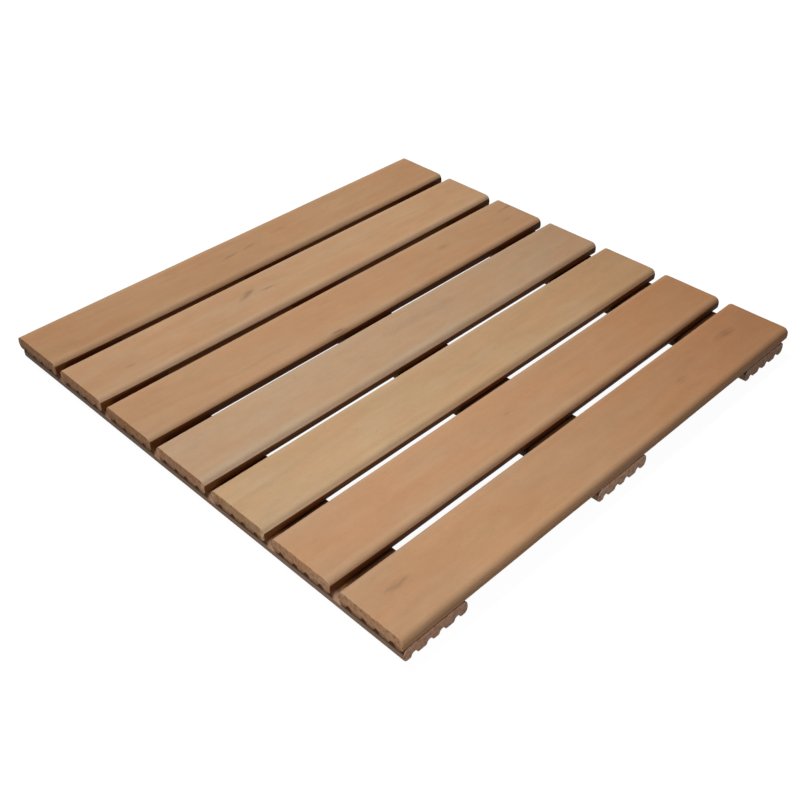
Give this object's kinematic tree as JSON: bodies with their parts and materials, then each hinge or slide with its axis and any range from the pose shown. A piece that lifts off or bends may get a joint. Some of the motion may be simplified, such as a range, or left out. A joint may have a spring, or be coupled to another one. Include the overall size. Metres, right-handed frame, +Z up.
{
  "type": "deck tile",
  "caption": "Square slatted wooden deck tile: parallel boards screwed from below to cross battens of the same grooved moulding, with drainage gaps between the boards.",
  "frame": {"origin": "middle of the square footprint, on the ground that the battens rest on", "axes": "+X along the boards, +Y across them, +Z up through the walking face"},
  "size_m": [0.5, 0.5, 0.026],
  "materials": {
    "board_wood": "planed smooth, oiled, matt",
    "batten_wood": "planed smooth, sawn ends, matt",
    "screw_steel": "zinc plated"
  },
  "bodies": {
    "root": {"board_1": "board_wood", "board_2": "board_wood", "board_3": "board_wood", "board_4": "board_wood", "board_5": "board_wood", "board_6": "board_wood", "board_7": "board_wood", "batten_left": "batten_wood", "batten_middle": "batten_wood", "batten_right": "batten_wood", "screws_left": "screw_steel", "screws_middle": "screw_steel", "screws_right": "screw_steel"}
  },
  "joints": []
}
